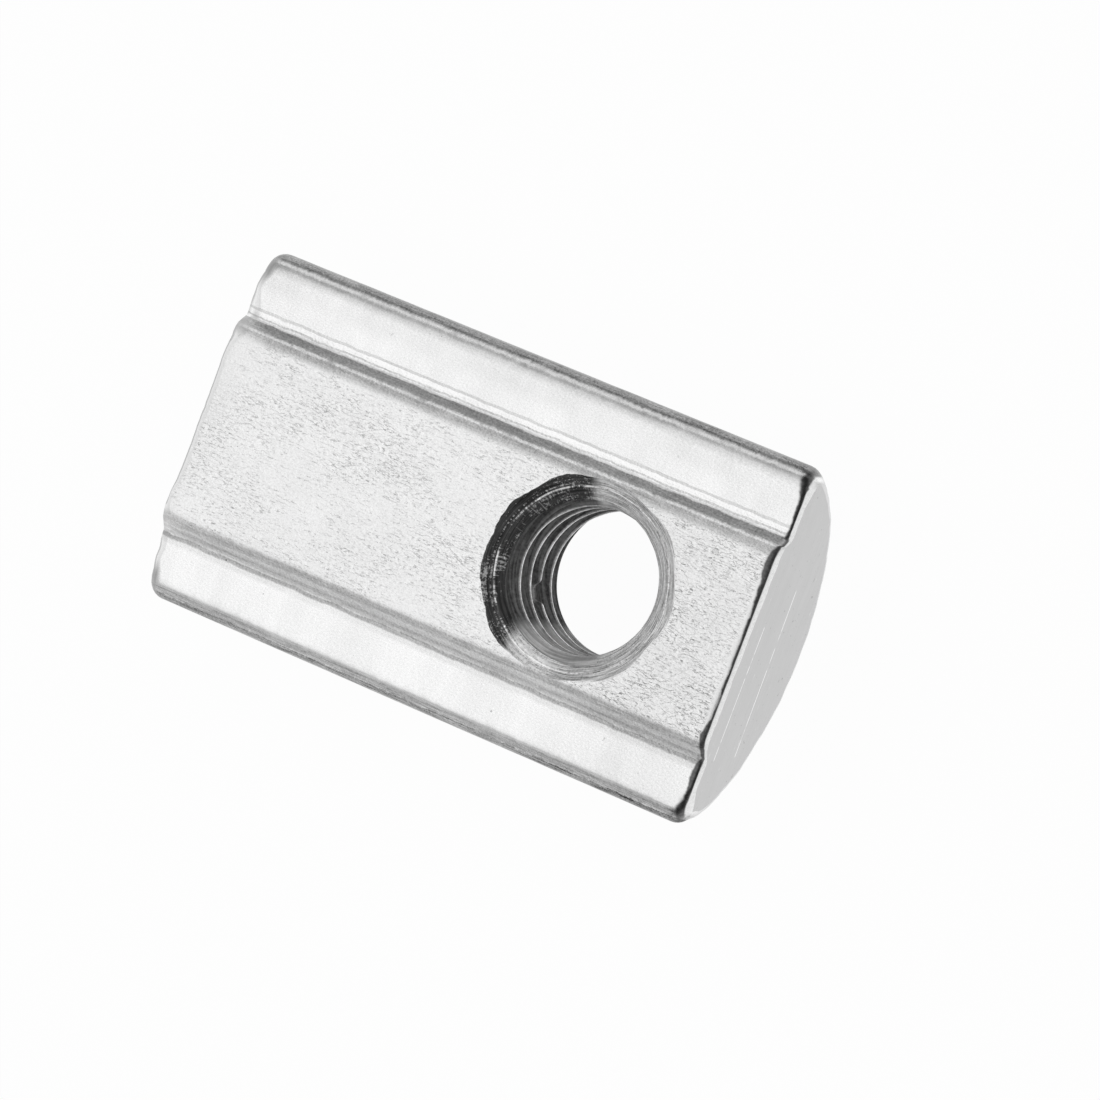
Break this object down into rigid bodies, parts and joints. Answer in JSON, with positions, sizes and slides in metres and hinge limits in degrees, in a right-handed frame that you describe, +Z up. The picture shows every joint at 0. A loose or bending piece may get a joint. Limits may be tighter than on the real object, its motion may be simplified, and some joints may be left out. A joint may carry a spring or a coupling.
{
  "type": "t slot nut",
  "caption": "Half-round steel nut for a T-slot, with a raised guide rib, two flat wings and a countersunk threaded hole near its end.",
  "frame": {"origin": "under the middle of the nut's length and width, on the lowest line of the round back", "axes": "+X along the length towards the end that has the hole, +Y across the width, +Z up out of the rib, along the hole's axis"},
  "size_m": [0.023, 0.0136, 0.0066],
  "materials": {
    "plated_steel": "satin bright plating"
  },
  "bodies": {
    "root": {"t_slot_nut": "plated_steel"}
  },
  "joints": []
}
